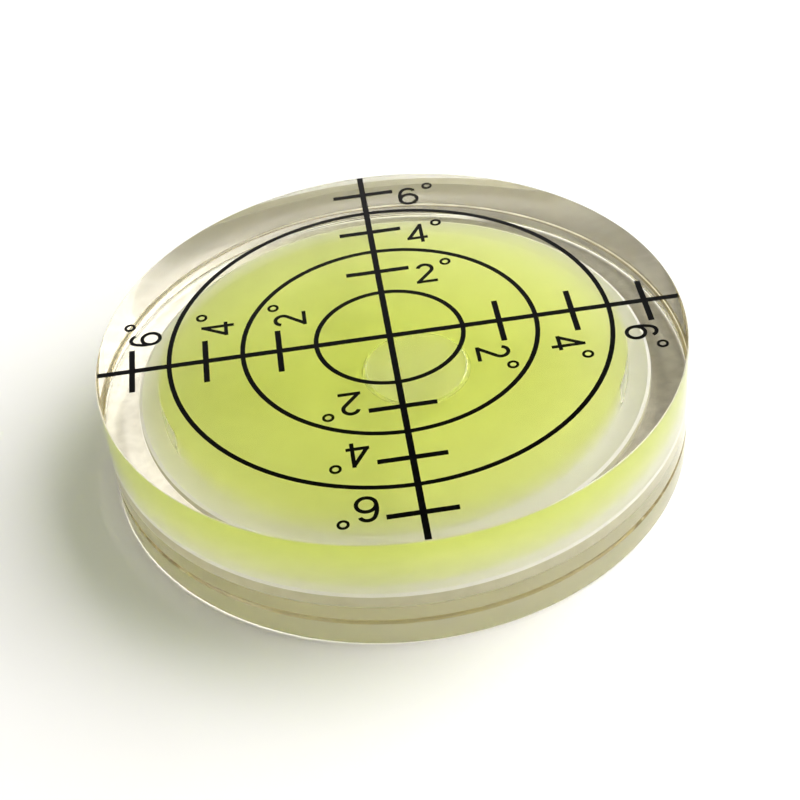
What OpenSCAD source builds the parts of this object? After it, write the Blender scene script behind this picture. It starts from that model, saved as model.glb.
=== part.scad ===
// Round bullseye level: a clear acrylic cup with a domed roof over tinted liquid,
// closed from below by a stepped base plate, with a degree scale printed on its top.
// Millimetres, +Z up, origin at the centre of the underside, one arm of the scale along +Y.

/* [Overall] */
// Diameter of the whole level
outer_d = 60; // [56:1:90]
// Height from the underside to the top face
overall_h = 13; // [11:0.5:20]
// Radius of the rounded edge round the top face
rim_round = 0.15; // [0.05:0.05:0.6]

/* [Liquid chamber] */
// Thickness of the roof over its highest point
roof_t = 2; // [1:0.1:3]
// Thickness of the wall round the recess that takes the base plate
skirt_t = 3.8; // [3:0.1:7]
// Width of the ledge on which the step of the base plate stops
ledge_w = 2.3; // [0.8:0.1:3]

/* [Base plate] */
// Thickness of the flange, which shows as the lowest band
flange_t = 3; // [2:0.1:4]
// Height of the raised step above the flange
step_h = 1.5; // [1:0.1:2.5]
// Gap all round between the raised step and the wall of the recess
step_gap = 0.1; // [0.05:0.05:0.3]
// Chamfer that leads the step into the recess
step_chamfer = 0.3; // [0.1:0.05:0.6]
// Radius of the rounded edges on both sides of the joint
joint_round = 0.25; // [0.1:0.05:0.4]
// Radius of the rounded edge round the underside
foot_round = 0.3; // [0.1:0.1:0.8]

/* [Cement] */
// Thickness of the cement film between the cup and the flange
film_t = 0.1; // [0.05:0.05:0.2]
// How far the film stays in from the rounded edges of the joint
film_setback = 0.1; // [0.05:0.05:1]

/* [Bubble] */
// Diameter of the bubble
bubble_d = 11; // [8:0.5:14]
// Depth of the bubble below the roof
bubble_depth = 2.7; // [2.6:0.1:3.2]
// Radius of the rounded side of the bubble
bubble_side_r = 1.2; // [0.8:0.05:1.25]
// Angle at which the side of the bubble meets the roof, in degrees
contact_angle = 30; // [20:5:50]
// Tilt that the bubble shows, in degrees
reading = 1.2; // [0:0.1:3]
// Direction in which the bubble stands off centre, in degrees from +X
reading_heading = -62; // [-180:1:180]

/* [Scale lines] */
// Number of printed rings, which share the face evenly with its edge
ring_count = 3; // [1:1:3]
// Width of the ring lines
ring_line_w = 0.5; // [0.3:0.05:0.8]
// Width of the two cross lines
cross_line_w = 0.65; // [0.4:0.05:1]
// Width of the tick lines
tick_w = 0.6; // [0.3:0.05:0.8]
// Length of the tick lines
tick_len = 6.7; // [4:0.1:8]
// Distance that the cross lines stay in from the rounded rim
print_margin = 0.05; // [0:0.05:1]
// Thickness of the ink
print_t = 0.05; // [0.03:0.01:0.1]

/* [Numerals] */
// Width of the pen stroke of a numeral
numeral_stroke = 0.4; // [0.25:0.05:0.55]
// Gap between the end of a tick and its numeral
numeral_gap = 0.53; // [0.3:0.01:1]
// Gap between a ring line and the foot of the numerals outside it
numeral_foot_gap = 0.4; // [0.2:0.1:0.8]
// Gap between the head of a numeral and the ring line outside it, along the arm
numeral_head_gap = 3.2; // [2.6:0.1:3.8]
// Radius of the small degree ring, to its outer edge
degree_r = 0.6; // [0.45:0.05:0.7]
// Width of the line of the degree ring
degree_stroke = 0.28; // [0.15:0.01:0.35]
// Gap between a numeral and its degree ring
degree_gap = 0.58; // [0.3:0.01:0.9]
// Distance of the middle of the degree ring below the head of its numeral
degree_drop = 0.1; // [0:0.1:0.8]

/* [Hidden] */

clear_tint = [0.93, 0.94, 0.88, 0.35];
cement_tint = [0.62, 0.56, 0.36, 0.8];
liquid_tint = [0.80, 0.93, 0.25, 0.7];
ink_tint = [0.03, 0.03, 0.03];

// Fineness of the round shapes
wall_fn = 180;
dome_fn = 1440;
edge_fn = 32;
pen_fn = 48;
// How far a cutting shape runs past what it cuts
cut_extra = 1;

outer_r = outer_d / 2;
recess_r = outer_r - skirt_t;
chamber_r = recess_r - ledge_w;
step_r = recess_r - step_gap;
body_low_z = flange_t + film_t;
floor_z = flange_t + step_h;
roof_z = overall_h - roof_t;

// The printed numerals say 2, 4 and 6 degrees, so this is what one ring stands for
degrees_per_ring = 2;
ring_pitch = outer_r / (ring_count + 1);
cross_reach = outer_r - rim_round - print_margin;
arm_count = 4;
arm_angle = 360 / arm_count;

// The roof is part of a sphere on which one ring pitch spans that angle
dome_r = ring_pitch / sin(degrees_per_ring);
dome_centre_z = roof_z - dome_r;

// The bubble has a rounded side that meets the roof at the contact angle,
// and an underside whose arc runs smoothly into that side
side_x = bubble_d / 2 - bubble_side_r;
side_drop = bubble_side_r * cos(contact_angle);
under_reach = bubble_depth - bubble_side_r;
under_centre_y = (pow(side_x, 2) + pow(side_drop, 2) - pow(under_reach, 2))
    / (2 * (under_reach - side_drop));
under_r = under_centre_y + bubble_depth;
under_join_x = side_x * under_r / (under_r - bubble_side_r);

// A numeral fills the band between two ring lines apart from the gaps at its foot and head
numeral_h = ring_pitch - ring_line_w - numeral_foot_gap - numeral_head_gap;
// Proportions of the numerals, to the middle of the pen stroke
numeral_w = 0.66 * numeral_h;
pen_half = numeral_stroke / 2;
pen_low = pen_half - numeral_h / 2;
pen_high = numeral_h / 2 - pen_half;
pen_right = numeral_w / 2 - pen_half;
hook_r = 0.28 * numeral_h - pen_half;
hook_y = pen_high - hook_r;
numeral_x = tick_len / 2 + numeral_gap + numeral_w / 2;
degree_x = numeral_w / 2 + degree_gap + degree_r;

// Distance from the centre to the tick in the middle of the band outside a ring
function tick_radius(ring) = (ring + 0.5) * ring_pitch;

// Distance from the centre to the foot of the numeral outside a ring, along the arm
function numeral_foot(ring) = ring * ring_pitch + ring_line_w / 2 + numeral_foot_gap;

// Half of the section of a disc, from low_z to high_z, with both outer edges rounded
module disc_section(radius, low_z, high_z, low_round, high_round) {
    middle_z = (low_z + high_z) / 2;
    translate([0, low_z])
        square([radius - low_round, middle_z - low_z]);
    translate([0, middle_z])
        square([radius - high_round, high_z - middle_z]);
    translate([0, low_z + low_round])
        square([radius, high_z - high_round - low_z - low_round]);
    translate([radius - low_round, low_z + low_round])
        circle(r = low_round, $fn = edge_fn);
    translate([radius - high_round, high_z - high_round])
        circle(r = high_round, $fn = edge_fn);
}

// The space under the domed roof, down to low_z
module domed_space(low_z) {
    rotate_extrude($fn = wall_fn)
        intersection() {
            translate([0, low_z])
                square([chamber_r, overall_h - low_z]);
            translate([0, dome_centre_z])
                circle(r = dome_r, $fn = dome_fn);
        }
}

// Half of the section of the bubble, hanging from its highest point on the roof
module bubble_section() {
    intersection() {
        translate([0, under_centre_y])
            circle(r = under_r, $fn = wall_fn);
        translate([0, -bubble_depth])
            square([under_join_x, bubble_depth]);
    }
    translate([side_x, -side_drop])
        circle(r = bubble_side_r, $fn = pen_fn);
    square([side_x, bubble_side_r - side_drop]);
}

// The space that the bubble takes, moved along the roof to the tilt that it shows
module bubble_space() {
    translate([0, 0, dome_centre_z])
        rotate([0, reading, reading_heading])
            translate([0, 0, dome_r])
                rotate_extrude($fn = wall_fn)
                    bubble_section();
}

// The cup: roof, wall and the skirt that takes the base plate, in one moulding
module body() {
    color(clear_tint)
        difference() {
            rotate_extrude($fn = wall_fn)
                disc_section(outer_r, body_low_z, overall_h, joint_round, rim_round);
            translate([0, 0, body_low_z - cut_extra])
                cylinder(r = recess_r, h = floor_z - body_low_z + cut_extra, $fn = wall_fn);
            domed_space(floor_z - cut_extra);
        }
}

// The plate that closes the cup: a flange with a raised step that fits the recess
module base_plate() {
    color(clear_tint) {
        rotate_extrude($fn = wall_fn)
            disc_section(outer_r, 0, flange_t, foot_round, joint_round);
        translate([0, 0, flange_t - cut_extra])
            cylinder(r = step_r, h = step_h - step_chamfer + cut_extra, $fn = wall_fn);
        translate([0, 0, floor_z - step_chamfer])
            cylinder(r1 = step_r, r2 = step_r - step_chamfer, h = step_chamfer, $fn = wall_fn);
    }
}

// The film of cement that joins the flange to the skirt
module cement_film() {
    color(cement_tint)
        translate([0, 0, flange_t])
            difference() {
                cylinder(r = outer_r - joint_round - film_setback, h = film_t, $fn = wall_fn);
                translate([0, 0, -cut_extra])
                    cylinder(r = recess_r, h = film_t + 2 * cut_extra, $fn = wall_fn);
            }
}

// The tinted liquid, which fills the chamber apart from the bubble
module liquid() {
    color(liquid_tint)
        difference() {
            domed_space(floor_z);
            bubble_space();
        }
}

// The rings, the two cross lines and the ticks across them
module scale_lines() {
    for (ring = [1:ring_count])
        difference() {
            circle(r = ring * ring_pitch + ring_line_w / 2, $fn = wall_fn);
            circle(r = ring * ring_pitch - ring_line_w / 2, $fn = wall_fn);
        }
    square([2 * cross_reach, cross_line_w], center = true);
    square([cross_line_w, 2 * cross_reach], center = true);
    for (arm = [0:arm_count - 1], ring = [1:ring_count])
        rotate(arm * arm_angle)
            translate([0, tick_radius(ring)])
                square([tick_len, tick_w], center = true);
}

module printed_lines() {
    color(ink_tint)
        translate([0, 0, overall_h])
            linear_extrude(print_t)
                scale_lines();
}

// A straight pen stroke with square ends
module pen_line(from, to) {
    run = to - from;
    translate(from)
        rotate(atan2(run.y, run.x))
            translate([0, -pen_half])
                square([norm(run), numeral_stroke]);
}

// A round pen stroke of less than half a turn at a time, from one angle to another
module pen_arc(centre, radius, from_angle, to_angle) {
    steps = ceil((to_angle - from_angle) / 60);
    fan_r = 2 * (radius + pen_half);
    fan = [
        for (i = [0:steps])
            let (a = from_angle + i * (to_angle - from_angle) / steps)
            fan_r * [cos(a), sin(a)]
    ];
    translate(centre)
        intersection() {
            difference() {
                circle(r = radius + pen_half, $fn = pen_fn);
                circle(r = radius - pen_half, $fn = pen_fn);
            }
            polygon(concat([[0, 0]], fan));
        }
}

// A hook over the top, a straight stroke that leaves it smoothly, and a foot
module numeral_two() {
    hook_end = 165;
    foot_left = [-pen_right, pen_low];
    reach = foot_left - [0, hook_y];
    leave_angle = atan2(reach.y, reach.x) + acos(hook_r / norm(reach));
    leave_point = [hook_r * cos(leave_angle), hook_y + hook_r * sin(leave_angle)];
    pen_arc([0, hook_y], hook_r, leave_angle, hook_end);
    pen_line(leave_point, foot_left);
    pen_line([-numeral_w / 2, pen_low], [numeral_w / 2, pen_low]);
}

// A stem, a bar across it and a slanted stroke that joins their ends
module numeral_four() {
    stem_x = 0.15 * numeral_h;
    bar_y = -0.25 * numeral_h;
    pen_line([stem_x, -numeral_h / 2], [stem_x, numeral_h / 2]);
    pen_line([-numeral_w / 2, bar_y], [numeral_w / 2, bar_y]);
    pen_line([-pen_right, bar_y], [stem_x, pen_high]);
}

// A closed bowl and a hook, joined by a wide arc that touches both smoothly
module numeral_six() {
    hook_start = 20;
    bowl_r = pen_right;
    bowl_y = pen_low + bowl_r;
    side_r = 0.9 * numeral_h;
    rise = hook_y - bowl_y;
    centre_rise = (pow(side_r - bowl_r, 2) - pow(side_r - hook_r, 2) + pow(rise, 2)) / (2 * rise);
    centre = [sqrt(pow(side_r - bowl_r, 2) - pow(centre_rise, 2)), bowl_y + centre_rise];
    hook_join = atan2(hook_y - centre.y, -centre.x);
    bowl_join = atan2(bowl_y - centre.y, -centre.x) + 360;
    translate([0, bowl_y])
        difference() {
            circle(r = bowl_r + pen_half, $fn = pen_fn);
            circle(r = bowl_r - pen_half, $fn = pen_fn);
        }
    pen_arc([0, hook_y], hook_r, hook_start, hook_join);
    pen_arc(centre, side_r, hook_join, bowl_join);
}

// The numeral that belongs to a ring
module numeral(ring) {
    if (ring == 1) numeral_two();
    if (ring == 2) numeral_four();
    if (ring == 3) numeral_six();
}

// The small raised ring that stands for degrees
module degree_ring() {
    difference() {
        circle(r = degree_r, $fn = pen_fn);
        circle(r = degree_r - degree_stroke, $fn = pen_fn);
    }
}

module printed_numerals() {
    color(ink_tint)
        translate([0, 0, overall_h])
            linear_extrude(print_t)
                for (arm = [0:arm_count - 1], ring = [1:ring_count])
                    rotate(arm * arm_angle)
                        translate([numeral_x, numeral_foot(ring) + numeral_h / 2]) {
                            numeral(ring);
                            translate([degree_x, numeral_h / 2 - degree_drop])
                                degree_ring();
                        }
}

body();
base_plate();
cement_film();
liquid();
printed_lines();
printed_numerals();
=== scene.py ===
"""Looks of the round bullseye level: clear acrylic, tinted liquid with its bubble, printed scale.

The cup, the base plate and the cement ring are turned again here as fine meshes, so that light
bends in them as it does in the real ones. Each face of the cup and the base plate has the
material of what lies on its other side: air, liquid, cement or the coat on the plate's step.
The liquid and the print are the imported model's own nodes.
"""

import math

import bmesh
import bpy
from mathutils import Matrix, Vector


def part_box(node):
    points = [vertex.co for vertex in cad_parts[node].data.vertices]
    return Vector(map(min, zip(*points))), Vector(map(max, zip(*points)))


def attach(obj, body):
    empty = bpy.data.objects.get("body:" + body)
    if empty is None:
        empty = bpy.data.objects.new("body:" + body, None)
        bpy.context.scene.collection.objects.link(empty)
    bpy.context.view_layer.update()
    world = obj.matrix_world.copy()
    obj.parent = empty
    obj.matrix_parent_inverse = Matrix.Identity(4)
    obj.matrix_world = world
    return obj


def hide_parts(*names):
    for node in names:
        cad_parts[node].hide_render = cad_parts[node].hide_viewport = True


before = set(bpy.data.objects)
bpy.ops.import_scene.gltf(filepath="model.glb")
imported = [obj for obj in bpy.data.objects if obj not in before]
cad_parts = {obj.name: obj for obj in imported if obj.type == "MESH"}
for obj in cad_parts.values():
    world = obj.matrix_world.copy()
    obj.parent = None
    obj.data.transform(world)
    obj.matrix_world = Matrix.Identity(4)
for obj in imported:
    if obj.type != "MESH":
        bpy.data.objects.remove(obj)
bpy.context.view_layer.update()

MM = 0.001

# Sizes of part.scad that no node's box gives. Angles are in degrees, and lengths in metres
RIM_ROUND = 0.15 * MM
JOINT_ROUND = 0.25 * MM
FOOT_ROUND = 0.3 * MM
STEP_CHAMFER = 0.3 * MM
STEP_GAP = 0.1 * MM
SKIRT_T = 3.8 * MM
LEDGE_W = 2.3 * MM
ROOF_T = 2.0 * MM
RING_COUNT = 3
DEGREES_PER_RING = 2.0
BUBBLE_D = 11.0 * MM
BUBBLE_DEPTH = 2.7 * MM
BUBBLE_SIDE_R = 1.2 * MM
CONTACT_ANGLE = 30.0
READING = 1.2
READING_HEADING = -62.0

# Faces that touch in the real thing stay this far apart, or reach one to three times this far
# into each other, so that no two of them share a place
HAIR = 0.01 * MM

# Index of refraction
ACRYLIC_IOR = 1.49
LIQUID_IOR = 1.475

# Values of the noise between which the materials change, and its detail
NOISE_LOW = 0.35
NOISE_HIGH = 0.65
NOISE_DETAIL = 3.0

# Least and greatest share of haze, painted shade or roughness on a surface
CEMENT_HAZE = (0.02, 0.08)
BUBBLE_HAZE = (0.035, 0.075)
GROOVE_PAINTED_SHADE = (0.3, 0.5)
INK_ROUGHNESS = (0.12, 0.2)
# Share of the light that the bubble's skin doesn't bend, and share that passes the coat
BUBBLE_STRAIGHT = 0.62
COAT_PASSING = 0.16
# How fast the liquid takes up light with depth
LIQUID_DENSITY = 120.0

# Colour of all the light
WARM = (1.0, 0.985, 0.975)

# The window, one large soft light, in degrees, metres and watts. Its azimuth is from +X to +Y
WINDOW_AZIMUTH = 16
WINDOW_ELEVATION = 42
WINDOW_DISTANCE = 1.0
WINDOW_WIDTH = 1.1
WINDOW_HEIGHT = 0.95
WINDOW_POWER = 16

# Brightness of the surroundings: low ring, wall, dark band and ceiling, from the floor up
LOW_GLOW = 2.5
WALL_GLOW = 0.85
DARK_GLOW = 0.03
CEILING_GLOW = 0.2
# Elevations between which each of them fades
RING_FADE = (6, 30)
WALL_FADE = (30, 41)
CEILING_FADE = (52, 72)
# The low ring is dimmer toward +Y, -Y and -X: the share of its light that is left there, and
# the stretch of that axis of a unit sphere over which it changes
NORTH_SHARE = 0.1
NORTH_FADE = (0.55, 0.9)
SOUTH_SHARE = 0.5
SOUTH_FADE = (-0.8, -0.2)
WEST_SHARE = 0.0
WEST_FADE = (-0.9, -0.5)

# Most often that light is followed through clear layers, and by reflection
CLEAR_BOUNCES = 32
GLOSSY_BOUNCES = 16

# Fineness of the turned pieces, and how near two points are the same
TURN_STEPS = 288
ARC_STEPS = 8
ROOF_STEPS = 24
BUBBLE_STEPS = 28
SAME_PLACE = 1e-9
# Edges sharper than this, in degrees, are not shaded smooth
SHARP_ANGLE = 25

body_low, body_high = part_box("body")
film_low, film_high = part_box("cement_film")
OUTER_R = body_high.x
TOP_Z = body_high.z
BODY_LOW_Z = body_low.z
FLOOR_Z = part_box("base_plate")[1].z
FLANGE_Z = film_low.z
FILM_R = film_high.x
RECESS_R = OUTER_R - SKIRT_T
STEP_R = RECESS_R - STEP_GAP
CHAMBER_R = RECESS_R - LEDGE_W
ROOF_Z = TOP_Z - ROOF_T
RING_PITCH = OUTER_R / (RING_COUNT + 1)
DOME_R = RING_PITCH / math.sin(math.radians(DEGREES_PER_RING))


def placed(name, data):
    """A new object with this data, put into the scene."""
    thing = bpy.data.objects.new(name, data)
    bpy.context.scene.collection.objects.link(thing)
    return thing


def arc(centre, radius, start, end, steps=ARC_STEPS):
    """Points of a circle's arc in the plane of the section, angles in degrees."""
    turns = [math.radians(start + (end - start) * i / steps) for i in range(steps + 1)]
    return [(centre[0] + radius * math.cos(t), centre[1] + radius * math.sin(t)) for t in turns]


def section(runs):
    """The points of a section, and the material number of each stretch between them."""
    points, slots = [], []
    for slot, run in runs:
        for point in run:
            if points and math.dist(points[-1], point) < SAME_PLACE:
                continue
            if points:
                slots.append(slot)
            points.append(point)
    if math.dist(points[0], points[-1]) < SAME_PLACE:
        points.pop()
    return points, slots


def circles(points):
    """The vertices of the points turned round the axis, and their numbers, circle by circle."""
    vertices, rows = [], []
    for radius, height in points:
        if radius < SAME_PLACE:
            rows.append([len(vertices)] * TURN_STEPS)
            vertices.append((0.0, 0.0, height))
            continue
        rows.append([len(vertices) + i for i in range(TURN_STEPS)])
        for i in range(TURN_STEPS):
            turn = 2 * math.pi * i / TURN_STEPS
            vertices.append((radius * math.cos(turn), radius * math.sin(turn), height))
    return vertices, rows


def band(low, high):
    """The faces between two circles. At the axis they have three corners."""
    faces = []
    for i in range(TURN_STEPS):
        j = (i + 1) % TURN_STEPS
        corners = dict.fromkeys((low[i], low[j], high[j], high[i]))
        faces.append(list(corners))
    return faces


def turned(name, runs, materials):
    """A turned piece. Each run is (material number, points of the section as (radius, height))."""
    points, slots = section(runs)
    vertices, rows = circles(points)
    faces, face_slots = [], []
    for k, slot in enumerate(slots):
        new_faces = band(rows[k], rows[(k + 1) % len(rows)])
        faces += new_faces
        face_slots += [slot] * len(new_faces)
    mesh = bpy.data.meshes.new(name)
    mesh.from_pydata(vertices, [], faces)
    for material in materials:
        mesh.materials.append(material)
    mesh.polygons.foreach_set("material_index", face_slots)
    mesh.shade_smooth()
    mesh.set_sharp_from_angle(angle=math.radians(SHARP_ANGLE))
    mesh.validate()
    return placed(name, mesh)


def outward(piece):
    """Turns a closed piece's faces to look outward."""
    mesh = bmesh.new()
    mesh.from_mesh(piece.data)
    bmesh.ops.recalc_face_normals(mesh, faces=mesh.faces)
    if mesh.calc_volume(signed=True) < 0:
        bmesh.ops.reverse_faces(mesh, faces=mesh.faces)
    mesh.to_mesh(piece.data)
    mesh.free()
    return piece


def new_material(name):
    """An empty material, its tree and its output node."""
    material = bpy.data.materials.new(name)
    material.use_nodes = True
    tree = material.node_tree
    tree.nodes.clear()
    return material, tree, tree.nodes.new("ShaderNodeOutputMaterial")


def noise(tree, scale):
    """Noise fixed to the piece, with its scale in features a metre."""
    place = tree.nodes.new("ShaderNodeTexCoord")
    node = tree.nodes.new("ShaderNodeTexNoise")
    node.inputs["Scale"].default_value = scale
    node.inputs["Detail"].default_value = NOISE_DETAIL
    tree.links.new(place.outputs["Object"], node.inputs["Vector"])
    return node.outputs["Fac"]


def spread(tree, ends, scale):
    """A value that wanders between its two ends over the piece."""
    node = tree.nodes.new("ShaderNodeMapRange")
    node.inputs["From Min"].default_value = NOISE_LOW
    node.inputs["From Max"].default_value = NOISE_HIGH
    node.inputs["To Min"].default_value = ends[0]
    node.inputs["To Max"].default_value = ends[1]
    tree.links.new(noise(tree, scale), node.inputs["Value"])
    return node.outputs["Result"]


def tone(tree, scale, dull, bright):
    """A colour that wanders between two tones over the piece."""
    node = tree.nodes.new("ShaderNodeMix")
    node.data_type = "RGBA"
    node.inputs["A"].default_value = (*dull, 1)
    node.inputs["B"].default_value = (*bright, 1)
    tree.links.new(spread(tree, (0.0, 1.0), scale), node.inputs["Factor"])
    return node.outputs["Result"]


def shader(tree, kind, colour):
    """A simple shader. Its colour is three numbers or another node's output."""
    node = tree.nodes.new(kind)
    if isinstance(colour, tuple):
        node.inputs["Color"].default_value = (*colour, 1)
    else:
        tree.links.new(colour, node.inputs["Color"])
    return node.outputs["BSDF"]


def mixed(tree, share, first, second):
    """The first shader with a share of the second. It is a number or another node's output."""
    node = tree.nodes.new("ShaderNodeMixShader")
    if isinstance(share, float):
        node.inputs["Fac"].default_value = share
    else:
        tree.links.new(share, node.inputs["Fac"])
    tree.links.new(first, node.inputs[1])
    tree.links.new(second, node.inputs[2])
    return node.outputs["Shader"]


def clear_material(name, ior, dull, bright):
    """Clear acrylic towards air or liquid."""
    material, tree, out = new_material(name)
    node = tree.nodes.new("ShaderNodeBsdfPrincipled")
    tree.links.new(tone(tree, scale=180, dull=dull, bright=bright), node.inputs["Base Color"])
    node.inputs["Transmission Weight"].default_value = 1.0
    node.inputs["IOR"].default_value = ior
    node.inputs["Roughness"].default_value = 0.0
    tree.links.new(node.outputs["BSDF"], out.inputs["Surface"])
    return material


def bonded_material():
    """An acrylic face that cement joins to another one, so that light passes straight on."""
    material, tree, out = new_material("clear_acrylic_in_cement")
    colour = tone(tree, scale=300, dull=(0.99, 0.989, 0.984), bright=(0.998, 0.997, 0.994))
    clear = shader(tree, "ShaderNodeBsdfTransparent", colour)
    tree.links.new(clear, out.inputs["Surface"])
    return material


def cement_material():
    """Dried cement, nearly clear, with a little brown haze."""
    material, tree, out = new_material("dried_cement")
    clear = shader(tree, "ShaderNodeBsdfTransparent", colour=(0.995, 0.99, 0.97))
    haze = shader(tree, "ShaderNodeBsdfTranslucent", colour=(0.62, 0.52, 0.33))
    surface = mixed(tree, spread(tree, CEMENT_HAZE, scale=900), clear, haze)
    tree.links.new(surface, out.inputs["Surface"])
    return material


def groove_material():
    """The rounded edges of the joint, under a brown matt film that is painted shade in the groove.
    """
    material, tree, out = new_material("clear_acrylic_with_painted_shade")
    clear = shader(tree, "ShaderNodeBsdfTransparent", colour=(0.95, 0.92, 0.8))
    # Brown matt film, painted shade in the groove between the cup and the base plate
    groove_shade = shader(tree, "ShaderNodeBsdfDiffuse", colour=(0.36, 0.29, 0.14))
    surface = mixed(tree, spread(tree, GROOVE_PAINTED_SHADE, scale=350), clear, groove_shade)
    tree.links.new(surface, out.inputs["Surface"])
    return material


def coat_material(name, dull, bright):
    """A matt coat on the base plate's step, or a darker copy of it that is painted shade. The
    light that goes through it turns browner.
    """
    material, tree, out = new_material(name)
    upper = tone(tree, scale=500, dull=dull, bright=bright)
    under = tone(tree, scale=500, dull=(0.93, 0.82, 0.73), bright=(0.98, 0.87, 0.78))
    front = shader(tree, "ShaderNodeBsdfDiffuse", upper)
    through = shader(tree, "ShaderNodeBsdfTranslucent", under)
    surface = mixed(tree, COAT_PASSING, front, through)
    tree.links.new(surface, out.inputs["Surface"])
    return material


def liquid_material():
    """Tinted spirit. The acrylic and the bubble bend its light, and its colour is in its depth."""
    material, tree, out = new_material("green_spirit")
    colour = tone(tree, scale=250, dull=(0.994, 0.996, 0.988), bright=(0.999, 1.0, 0.995))
    clear = shader(tree, "ShaderNodeBsdfTransparent", colour)
    depth = tree.nodes.new("ShaderNodeVolumeAbsorption")
    depth.inputs["Color"].default_value = (0.92, 0.98, 0.2, 1)
    depth.inputs["Density"].default_value = LIQUID_DENSITY
    tree.links.new(clear, out.inputs["Surface"])
    tree.links.new(depth.outputs["Volume"], out.inputs["Volume"])
    return material


def bubble_material():
    """The liquid's skin round the bubble, as light meets it from inside the bubble."""
    material, tree, out = new_material("bubble_skin")
    glass = tree.nodes.new("ShaderNodeBsdfGlass")
    glass.inputs["IOR"].default_value = 1 / LIQUID_IOR
    glass.inputs["Roughness"].default_value = 0.0
    clear = tree.nodes.new("ShaderNodeBsdfTransparent")
    soft = mixed(tree, BUBBLE_STRAIGHT, glass.outputs["BSDF"], clear.outputs["BSDF"])
    haze = shader(tree, "ShaderNodeBsdfDiffuse", colour=(0.82, 0.79, 0.84))
    surface = mixed(tree, spread(tree, BUBBLE_HAZE, scale=220), soft, haze)
    tree.links.new(surface, out.inputs["Surface"])
    return material


def ink_material():
    """Printed black ink, satin, a little uneven."""
    material, tree, out = new_material("printed_ink")
    node = tree.nodes.new("ShaderNodeBsdfPrincipled")
    black = (0.0006, 0.0006, 0.0006)
    colour = tone(tree, scale=2600, dull=black, bright=(0.0016, 0.0015, 0.0012))
    tree.links.new(colour, node.inputs["Base Color"])
    tree.links.new(spread(tree, INK_ROUGHNESS, scale=1700), node.inputs["Roughness"])
    node.inputs["Specular IOR Level"].default_value = 0.2
    tree.links.new(node.outputs["BSDF"], out.inputs["Surface"])
    return material


def floor_material():
    """Plain pale matt floor."""
    material, tree, out = new_material("pale_floor")
    node = tree.nodes.new("ShaderNodeBsdfPrincipled")
    colour = tone(tree, scale=60, dull=(0.925, 0.92, 0.905), bright=(0.935, 0.93, 0.92))
    tree.links.new(colour, node.inputs["Base Color"])
    node.inputs["Roughness"].default_value = 0.8
    tree.links.new(node.outputs["BSDF"], out.inputs["Surface"])
    return material


# Material numbers of the cup's and the base plate's faces
AIR, WET, GLUED, WHITE, COATED_SIDE, GROOVE = range(6)


def face_materials():
    """The materials of the cup and the base plate, in the order of their numbers."""
    return [
        clear_material(
            "clear_acrylic", ACRYLIC_IOR,
            dull=(0.993, 0.991, 0.979), bright=(0.998, 0.996, 0.987),
        ),
        clear_material(
            "clear_acrylic_in_liquid", ACRYLIC_IOR / LIQUID_IOR,
            dull=(0.997, 0.997, 0.994), bright=(1.0, 1.0, 0.998),
        ),
        bonded_material(),
        coat_material("white_coat", dull=(0.88, 0.87, 0.875), bright=(0.9, 0.89, 0.895)),
        # The step's side: the white coat darkened and tinted olive as painted shade, where less
        # light falls on it
        coat_material("step_side_coat_painted_shade", dull=(0.54, 0.52, 0.4), bright=(0.6, 0.58, 0.46)),
        groove_material(),
    ]


def roof_arc(drop, reach):
    """The domed roof from this far out to its top, lowered by drop."""
    edge = math.degrees(math.asin(reach / DOME_R))
    return arc((0.0, ROOF_Z - DOME_R), DOME_R - drop, 90 - edge, 90, ROOF_STEPS)


def make_cup(materials):
    """The cup, from the middle of its top round its wall and skirt to the middle of its roof."""
    inner_r = CHAMBER_R - 2 * HAIR
    top = TOP_Z + HAIR
    ledge_z = FLOOR_Z + 3 * HAIR
    joint_z = BODY_LOW_Z + JOINT_ROUND
    runs = [
        (AIR, [(0.0, top)]),
        (AIR, arc((OUTER_R - RIM_ROUND, top - RIM_ROUND), RIM_ROUND, 90, 0)),
        (AIR, [(OUTER_R, joint_z)]),
        # The joint's rounded edges carry the brown film of painted shade
        (GROOVE, arc((OUTER_R - JOINT_ROUND, joint_z), JOINT_ROUND, 0, -90)),
        (GROOVE, [(FILM_R, BODY_LOW_Z)]),
        (GLUED, [(RECESS_R, BODY_LOW_Z), (RECESS_R, ledge_z), (inner_r, ledge_z)]),
        (WET, roof_arc(2 * HAIR, inner_r)),
    ]
    return turned("cup", runs, materials)


def make_foot(materials):
    """The base plate, from the middle of its underside round the flange to its step's middle."""
    step_top = FLOOR_Z + 2 * HAIR
    joint_z = FLANGE_Z - JOINT_ROUND
    runs = [
        (AIR, [(0.0, 0.0)]),
        (AIR, arc((OUTER_R - FOOT_ROUND, FOOT_ROUND), FOOT_ROUND, -90, 0)),
        (AIR, [(OUTER_R, joint_z)]),
        (GROOVE, arc((OUTER_R - JOINT_ROUND, joint_z), JOINT_ROUND, 0, 90)),
        (GROOVE, [(FILM_R, FLANGE_Z)]),
        (GLUED, [(RECESS_R, FLANGE_Z)]),
        (AIR, [(STEP_R, FLANGE_Z)]),
        # The step's side has the darker copy of the coat, which is painted shade
        (COATED_SIDE, [(STEP_R, step_top - STEP_CHAMFER)]),
        (WHITE, [(STEP_R - STEP_CHAMFER, step_top), (0.0, step_top)]),
    ]
    return turned("foot", runs, materials)


def make_joint():
    """The ring of cement between the flange and the skirt."""
    low = film_low.z + HAIR
    high = film_high.z - HAIR
    ring = [(RECESS_R, low), (FILM_R, low), (FILM_R, high), (RECESS_R, high), (RECESS_R, low)]
    return turned("cement_ring", [(0, ring)], [cement_material()])


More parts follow.
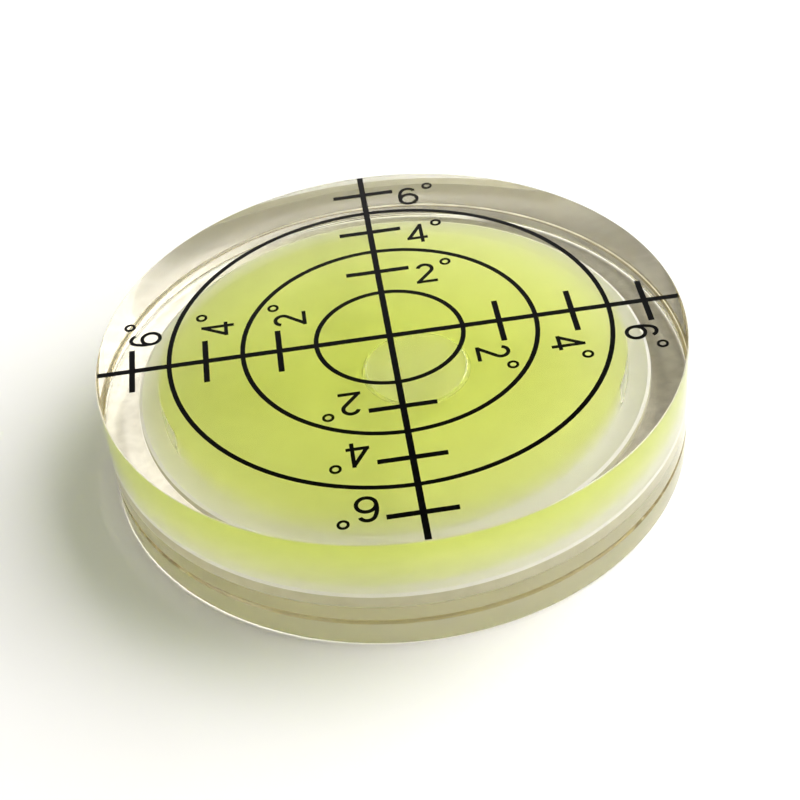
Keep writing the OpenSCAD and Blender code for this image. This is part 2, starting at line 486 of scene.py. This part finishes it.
def bubble_section():
    """Section of the bubble, from its top centre round its side to its lowest point.

    The side is an arc that meets the roof at the contact angle, and the underside runs on
    from it smoothly. Both are a hair smaller than the space in the liquid.
    """
    side_x = BUBBLE_D / 2 - BUBBLE_SIDE_R
    side_y = -BUBBLE_SIDE_R * math.cos(math.radians(CONTACT_ANGLE))
    under_reach = BUBBLE_DEPTH - BUBBLE_SIDE_R
    under_y = (side_x**2 + side_y**2 - under_reach**2) / (2 * (under_reach + side_y))
    under_r = under_y + BUBBLE_DEPTH - HAIR
    side_r = BUBBLE_SIDE_R - HAIR
    roof_drop = 3 * HAIR
    roof_y = -roof_drop - side_x**2 / (2 * DOME_R)
    start = math.degrees(math.asin((roof_y - side_y) / side_r))
    join = math.degrees(math.atan2(side_y - under_y, side_x))
    side = arc((side_x, side_y), side_r, start, join, BUBBLE_STEPS)
    top_reach = math.degrees(math.asin(side[0][0] / DOME_R))
    top = arc((0.0, -DOME_R), DOME_R - roof_drop, 90, 90 - top_reach, ARC_STEPS)
    top[-1] = side[0]
    under = arc((0.0, under_y), under_r, join, -90, BUBBLE_STEPS)
    under[0] = side[-1]
    return [(0, top), (0, side), (0, under)]


def make_bubble():
    """The bubble, swung about the dome's centre to the tilt that it shows."""
    bubble = turned("bubble_skin", bubble_section(), [bubble_material()])
    heading = Matrix.Rotation(math.radians(READING_HEADING), 4, "Z")
    tilt = Matrix.Rotation(math.radians(READING), 4, "Y")
    to_roof = Matrix.Translation((0, 0, ROOF_Z - DOME_R))
    to_centre = Matrix.Translation((0, 0, DOME_R))
    bubble.data.transform(to_roof @ (heading @ tilt) @ to_centre)
    return bubble


def make_pieces():
    """The turned pieces, each with the node that it replaces, and the bubble."""
    faces = face_materials()
    for piece, node, slot in (
        (make_cup(faces), "body", "clear_acrylic"),
        (make_foot(faces), "base_plate", "clear_acrylic"),
        (make_joint(), "cement_film", "cement"),
    ):
        outward(piece)
        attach(piece, "root")
        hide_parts(node)
    bubble = outward(make_bubble())
    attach(bubble, "root")


def dress_nodes():
    """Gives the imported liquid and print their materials."""
    ink = ink_material()
    for node, material in (
        ("liquid", liquid_material()),
        ("printed_lines", ink),
        ("printed_numerals", ink),
    ):
        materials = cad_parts[node].data.materials
        materials.clear()
        materials.append(material)


def make_floor():
    """A floor just under the level, far wider than the view."""
    reach = 2.0
    z = -2 * HAIR
    corners = [(-reach, -reach, z), (reach, -reach, z), (reach, reach, z), (-reach, reach, z)]
    mesh = bpy.data.meshes.new("floor")
    mesh.from_pydata(corners, [], [(0, 1, 2, 3)])
    mesh.materials.append(floor_material())
    placed("floor", mesh)


def make_window():
    """The soft light, which looks at the middle of the level."""
    azimuth = math.radians(WINDOW_AZIMUTH)
    elevation = math.radians(WINDOW_ELEVATION)
    way = Vector((
        math.cos(azimuth) * math.cos(elevation),
        math.sin(azimuth) * math.cos(elevation),
        math.sin(elevation),
    ))
    light = bpy.data.lights.new("window", "AREA")
    light.shape = "RECTANGLE"
    light.size = WINDOW_WIDTH
    light.size_y = WINDOW_HEIGHT
    light.energy = WINDOW_POWER
    light.color = WARM
    lamp = placed("window", light)
    lamp.location = way * WINDOW_DISTANCE
    lamp.rotation_euler = way.to_track_quat("Z", "Y").to_euler()


def combined(tree, operation, first, second):
    """Two values added or multiplied."""
    node = tree.nodes.new("ShaderNodeMath")
    node.operation = operation
    tree.links.new(first, node.inputs[0])
    tree.links.new(second, node.inputs[1])
    return node.outputs["Value"]


def faded(tree, value, fade, before, after):
    """Goes softly from one brightness to another while value passes through fade."""
    node = tree.nodes.new("ShaderNodeMapRange")
    node.interpolation_type = "SMOOTHSTEP"
    node.inputs["From Min"].default_value = fade[0]
    node.inputs["From Max"].default_value = fade[1]
    node.inputs["To Min"].default_value = before
    node.inputs["To Max"].default_value = after
    tree.links.new(value, node.inputs["Value"])
    return node.outputs["Result"]


def heights(fade):
    """Elevations in degrees as heights on a unit sphere."""
    return [math.sin(math.radians(elevation)) for elevation in fade]


def make_world():
    """A bright low ring round the level, a dimmer wall above it, dark, and a faint ceiling."""
    world = bpy.data.worlds.new("studio")
    bpy.context.scene.world = world
    world.use_nodes = True
    tree = world.node_tree
    tree.nodes.clear()
    out = tree.nodes.new("ShaderNodeOutputWorld")
    sky = tree.nodes.new("ShaderNodeBackground")
    place = tree.nodes.new("ShaderNodeTexCoord")
    parts = tree.nodes.new("ShaderNodeSeparateXYZ")
    tree.links.new(place.outputs["Generated"], parts.inputs[0])
    east, north, height = parts.outputs["X"], parts.outputs["Y"], parts.outputs["Z"]
    ring = faded(tree, height, heights(RING_FADE), LOW_GLOW, 0.0)
    for share in (
        faded(tree, north, NORTH_FADE, 1.0, NORTH_SHARE),
        faded(tree, east, WEST_FADE, WEST_SHARE, 1.0),
        faded(tree, north, SOUTH_FADE, SOUTH_SHARE, 1.0),
    ):
        ring = combined(tree, "MULTIPLY", ring, share)
    wall = faded(tree, height, heights(WALL_FADE), WALL_GLOW, DARK_GLOW)
    ceiling = faded(tree, height, heights(CEILING_FADE), 0.0, CEILING_GLOW)
    glow = combined(tree, "ADD", combined(tree, "ADD", ring, wall), ceiling)
    tree.links.new(glow, sky.inputs["Strength"])
    sky.inputs["Color"].default_value = (*WARM, 1)
    tree.links.new(sky.outputs["Background"], out.inputs["Surface"])


def make_camera():
    """The photograph's view, found from the printed rings, the cross lines and the outline.

    Its lengths are in the fit's own unit, and its angles in radians.
    """
    unit = 29.8 * MM
    azimuth = -0.052448
    elevation = 0.697858
    roll = -0.106246
    distance = 5.65484 * unit
    aim = Vector((-0.0061267 * unit, -0.344313 * unit, TOP_Z))
    focal_pixels = 1737.73
    photo_pixels = 800
    sensor = 36.0
    back = Vector((
        math.sin(azimuth) * math.cos(elevation),
        -math.cos(azimuth) * math.cos(elevation),
        math.sin(elevation),
    ))
    right = Vector((math.cos(azimuth), math.sin(azimuth), 0))
    up = back.cross(right)
    turned_right = math.cos(roll) * right + math.sin(roll) * up
    turned_up = -math.sin(roll) * right + math.cos(roll) * up
    data = bpy.data.cameras.new("camera")
    data.sensor_fit = "HORIZONTAL"
    data.sensor_width = sensor
    data.lens = focal_pixels / photo_pixels * sensor
    data.clip_start = 1 * MM
    camera = placed("camera", data)
    camera.matrix_world = Matrix((turned_right, turned_up, back)).transposed().to_4x4()
    camera.location = aim + back * distance
    bpy.context.scene.camera = camera


def set_light_paths():
    """Lets light pass through all the clear layers, and shows its colours as they are."""
    scene = bpy.context.scene
    scene.view_settings.view_transform = "Standard"
    scene.view_settings.look = "None"
    scene.cycles.max_bounces = CLEAR_BOUNCES
    scene.cycles.transmission_bounces = CLEAR_BOUNCES
    scene.cycles.transparent_max_bounces = CLEAR_BOUNCES
    scene.cycles.glossy_bounces = GLOSSY_BOUNCES
    # Light that has been scattered by the floor bends as sharply in the acrylic as any other
    scene.cycles.blur_glossy = 0.0
    scene.cycles.sample_clamp_indirect = 0.0


make_pieces()
dress_nodes()
make_floor()
make_window()
make_world()
make_camera()
set_light_paths()
